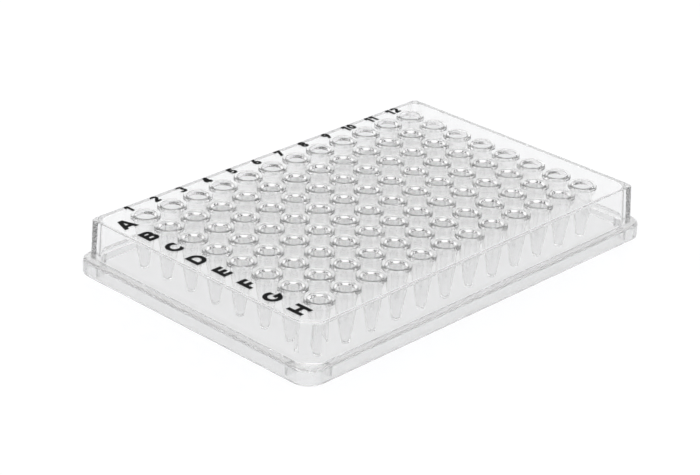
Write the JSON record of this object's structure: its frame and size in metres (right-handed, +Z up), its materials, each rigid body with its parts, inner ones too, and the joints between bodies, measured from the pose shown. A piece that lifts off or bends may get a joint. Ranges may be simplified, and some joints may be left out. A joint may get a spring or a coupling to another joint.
{
  "type": "well plate",
  "caption": "Clear skirted laboratory plate with a grid of tapered, rimmed tubes below a flat deck and one chamfered corner.",
  "frame": {"origin": "centre of the footprint, on the plane that the skirt stands on", "axes": "+X from column 1 to column 12, +Y from row H to row A, +Z up out of the wells"},
  "size_m": [0.1278, 0.0854, 0.0154],
  "materials": {
    "clear_plastic": "clear, moulded, polished"
  },
  "bodies": {
    "root": {"well_plate": "clear_plastic"}
  },
  "joints": []
}
